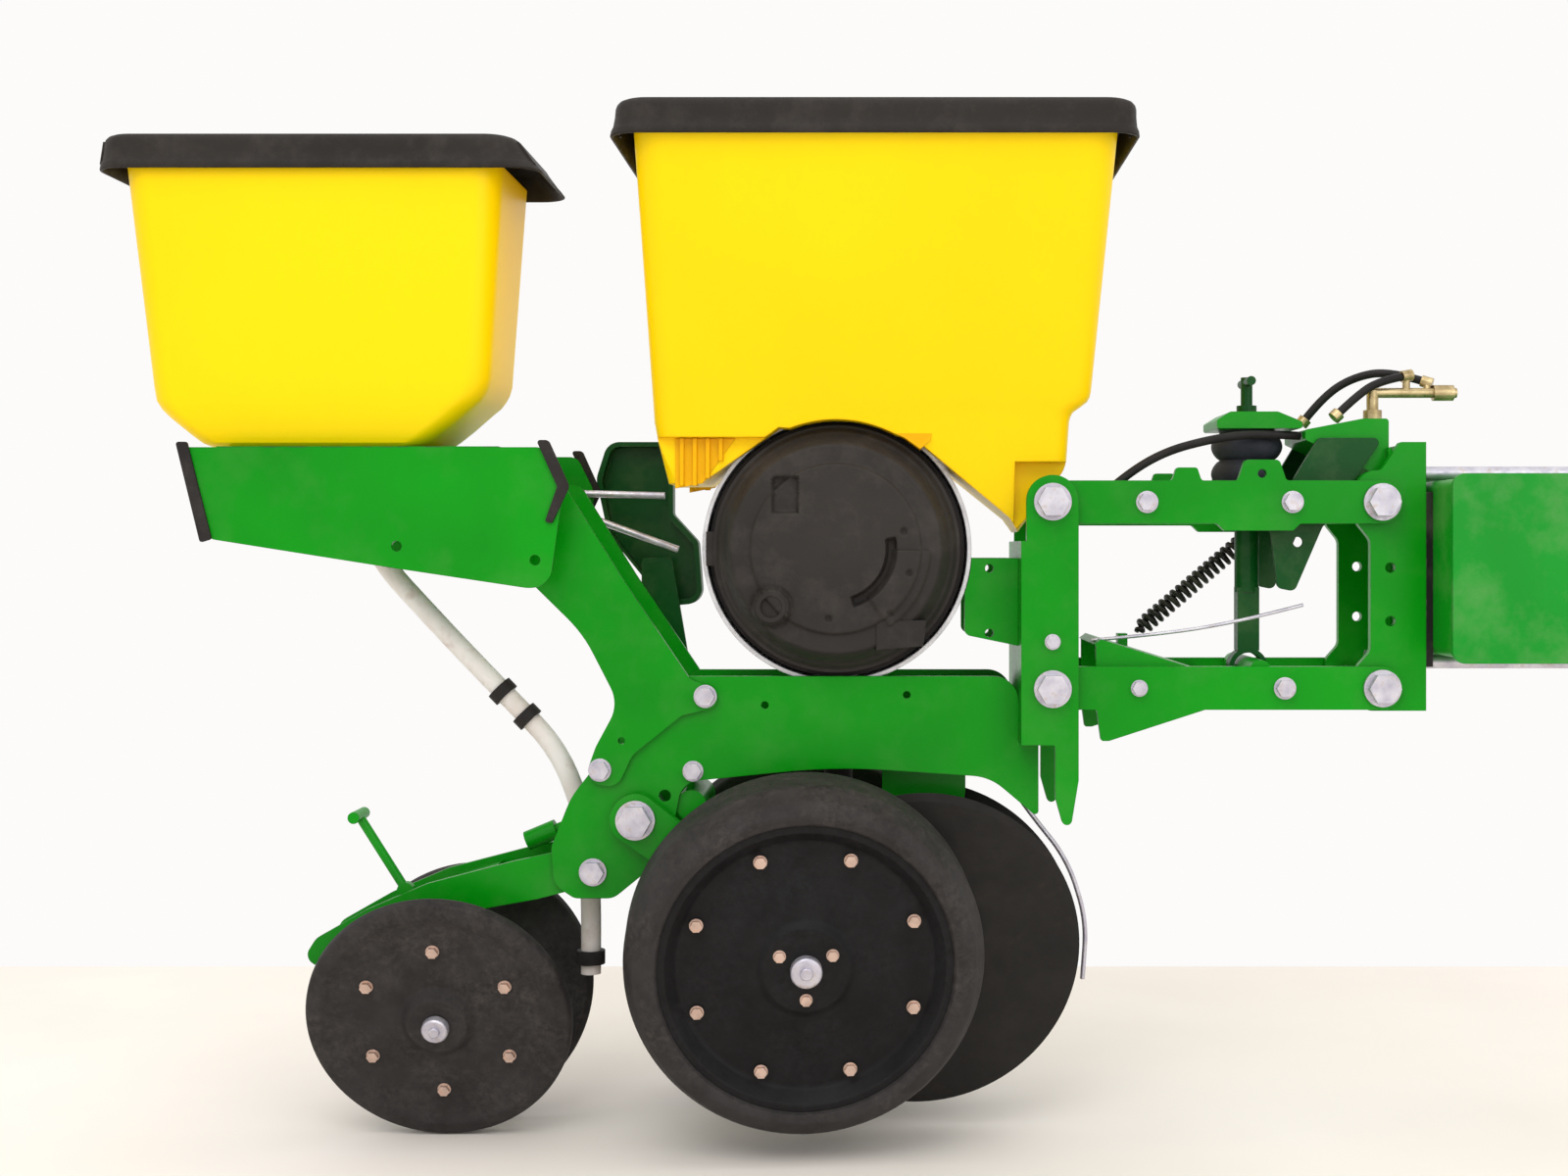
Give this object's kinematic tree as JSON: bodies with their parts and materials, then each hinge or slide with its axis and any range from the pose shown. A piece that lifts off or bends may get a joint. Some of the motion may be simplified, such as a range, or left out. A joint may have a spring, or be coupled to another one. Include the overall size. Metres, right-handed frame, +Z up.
{
  "type": "corn planter row unit",
  "caption": "Row unit of a corn planter on a toolbar section: parallel arms, seed hopper and meter, opener discs, gauge wheels, closing wheels, rear hopper.",
  "frame": {"origin": "centre of the square toolbar section, on the unit's middle plane", "axes": "+X forward in the direction of travel, +Y to the left along the toolbar, +Z up"},
  "size_m": [1.7668, 0.4446, 1.1929],
  "materials": {
    "green_paint": "semi-gloss agricultural green enamel",
    "dark_green_paint": "semi-gloss dark green",
    "zinc_plate": "zinc plated",
    "brass": "dull brass",
    "black_rubber": "matt black rubber",
    "tyre_rubber": "worn black tyre rubber",
    "black_steel": "satin black paint",
    "disc_steel": "dark rolled steel with a bright edge",
    "yellow_plastic": "smooth moulded yellow polyethylene",
    "black_plastic": "textured black plastic",
    "cast_aluminium": "cast, satin",
    "white_plastic": "translucent whitish plastic"
  },
  "bodies": {
    "toolbar_side": {"toolbar_tube": "green_paint", "toolbar_end_caps": "green_paint", "mount_pad": "black_rubber", "u_bolts": "zinc_plate", "head_bracket": "green_paint", "front_pivot_bolts": "zinc_plate", "downforce_housing": "green_paint", "air_spring_cap": "green_paint", "bellows": "black_rubber", "air_fittings": "brass", "air_hose_a": "black_rubber", "air_hose_b": "black_rubber", "air_hose_c": "black_rubber", "strut_bracket": "green_paint", "diagonal_spring": "black_steel"},
    "t_handle": {"cap_t_handle": "zinc_plate"},
    "upper_arms": {"upper_arm": "green_paint", "upper_arm_bolts": "zinc_plate"},
    "lower_arms": {"lower_arm": "green_paint", "lower_arm_bolts": "zinc_plate"},
    "strut": {"air_strut": "green_paint"},
    "row_unit": {"mast": "green_paint", "rear_pivot_bolts": "zinc_plate", "row_frame_plates": "green_paint", "frame_bolts": "zinc_plate", "meter_bracket": "green_paint", "hopper_support": "green_paint", "support_liners": "black_rubber", "seed_hopper": "yellow_plastic", "small_hopper": "yellow_plastic", "meter_housing": "cast_aluminium", "seed_tube": "white_plastic", "drive_cover": "dark_green_paint", "drive_rods": "zinc_plate", "drop_tube": "white_plastic", "tube_clips": "black_steel", "disc_spindles": "green_paint", "disc_scrapers": "disc_steel"},
    "gauge_arm_r": {"gauge_arm_right": "green_paint"},
    "gauge_arm_l": {"gauge_arm_left": "green_paint"},
    "gauge_wheel_r": {"gauge_tyre_right": "tyre_rubber", "gauge_rim_right": "black_steel", "gauge_wheel_bolts_right": "zinc_plate"},
    "gauge_wheel_l": {"gauge_tyre_left": "tyre_rubber", "gauge_rim_left": "black_steel", "gauge_wheel_bolts_left": "zinc_plate"},
    "disc_r": {"opener_disc_right": "disc_steel"},
    "disc_l": {"opener_disc_left": "disc_steel"},
    "closing_unit": {"closing_frame": "green_paint"},
    "closing_wheel_r": {"closing_wheel_right": "black_steel", "closing_wheel_bolts_right": "zinc_plate"},
    "closing_wheel_l": {"closing_wheel_left": "black_steel", "closing_wheel_bolts_left": "zinc_plate"},
    "lever": {"closing_lever": "green_paint"},
    "lid_seed": {"seed_lid": "black_plastic"},
    "lid_small": {"small_lid": "black_plastic"},
    "dome": {"vacuum_dome": "black_plastic"},
    "meter_rotor": {"seed_disc": "disc_steel", "drive_sprocket": "black_steel"},
    "depth_lever": {"depth_handle": "black_plastic"}
  },
  "joints": [
    {"name": "lift", "type": "hinge", "parent": "toolbar_side", "child": "upper_arms", "pos_m": [-0.164, 0, 0.076], "axis": [0, 1, 0], "range_deg": [0, 25], "deforming": ["air_hose_a"]},
    {"name": "lower_arm_pivot", "type": "hinge", "parent": "toolbar_side", "child": "lower_arms", "pos_m": [-0.164, 0, -0.139], "axis": [0, 1, 0], "range_deg": [0, 25], "deforming": ["diagonal_spring"]},
    {"name": "mast_pivot", "type": "hinge", "parent": "upper_arms", "child": "row_unit", "pos_m": [-0.545, 0, 0.076], "axis": [0, 1, 0], "range_deg": [-25, 0]},
    {"name": "strut_slide", "type": "slide", "parent": "toolbar_side", "child": "strut", "axis": [0.3476, 0, 0.9376], "range_m": [0, 0.0603], "deforming": ["bellows"]},
    {"name": "t_handle_turn", "type": "hinge", "parent": "toolbar_side", "child": "t_handle", "pos_m": [-0.302, 0, 0.184], "axis": [0, 0, 1], "continuous": true},
    {"name": "gauge_arm_pivot_right", "type": "hinge", "parent": "row_unit", "child": "gauge_arm_r", "pos_m": [-1.027, -0.076, -0.293], "axis": [0, -1, 0], "range_deg": [0, 22]},
    {"name": "gauge_arm_pivot_left", "type": "hinge", "parent": "row_unit", "child": "gauge_arm_l", "pos_m": [-1.027, 0.076, -0.293], "axis": [0, -1, 0], "range_deg": [0, 22]},
    {"name": "gauge_wheel_spin_right", "type": "hinge", "parent": "gauge_arm_r", "child": "gauge_wheel_r", "pos_m": [-0.829, -0.138, -0.438], "axis": [0.0819, -0.9869, -0.1392], "continuous": true},
    {"name": "gauge_wheel_spin_left", "type": "hinge", "parent": "gauge_arm_l", "child": "gauge_wheel_l", "pos_m": [-0.829, 0.138, -0.438], "axis": [0.0819, 0.9869, -0.1392], "continuous": true},
    {"name": "disc_spin_right", "type": "hinge", "parent": "row_unit", "child": "disc_r", "pos_m": [-0.695, -0.03342, -0.453], "axis": [0.0819, -0.9869, -0.1392], "continuous": true},
    {"name": "disc_spin_left", "type": "hinge", "parent": "row_unit", "child": "disc_l", "pos_m": [-0.695, 0.03342, -0.453], "axis": [0.0819, 0.9869, -0.1392], "continuous": true},
    {"name": "closing_frame_pivot", "type": "hinge", "parent": "row_unit", "child": "closing_unit", "pos_m": [-1.079, 0, -0.356], "axis": [0, 1, 0], "range_deg": [0, 25]},
    {"name": "closing_wheel_spin_right", "type": "hinge", "parent": "closing_unit", "child": "closing_wheel_r", "pos_m": [-1.255, -0.08, -0.523], "axis": [0, -0.9455, -0.3256], "continuous": true},
    {"name": "closing_wheel_spin_left", "type": "hinge", "parent": "closing_unit", "child": "closing_wheel_l", "pos_m": [-1.255, 0.08, -0.523], "axis": [0, 0.9455, -0.3256], "continuous": true},
    {"name": "closing_lever_pivot", "type": "hinge", "parent": "closing_unit", "child": "lever", "pos_m": [-1.314, 0, -0.389], "axis": [0, 1, 0], "range_deg": [0, 30]},
    {"name": "seed_lid_hinge", "type": "hinge", "parent": "row_unit", "child": "lid_seed", "pos_m": [-1.043, 0, 0.477], "axis": [0, -1, 0], "range_deg": [0, 95]},
    {"name": "small_lid_hinge", "type": "hinge", "parent": "row_unit", "child": "lid_small", "pos_m": [-1.649, 0, 0.459], "axis": [0, -1, 0], "range_deg": [0, 95]},
    {"name": "meter_cover_hinge", "type": "hinge", "parent": "row_unit", "child": "dome", "pos_m": [-0.944, -0.0684, 0.022], "axis": [0, 0, -1], "range_deg": [0, 35]},
    {"name": "seed_disc_spin", "type": "hinge", "parent": "row_unit", "child": "meter_rotor", "pos_m": [-0.794, 0, 0.022], "axis": [0, 1, 0], "continuous": true},
    {"name": "depth_handle_pivot", "type": "hinge", "parent": "row_unit", "child": "depth_lever", "pos_m": [-1.065, 0.027, -0.289], "axis": [0, 1, 0], "range_deg": [0, 25]}
  ],
  "couplings": [
    {"joint": "lower_arm_pivot", "follows": "lift", "ratio": 1},
    {"joint": "mast_pivot", "follows": "lift", "ratio": -1},
    {"joint": "strut_slide", "follows": "lift", "m_per_rad": 0.1382}
  ]
}
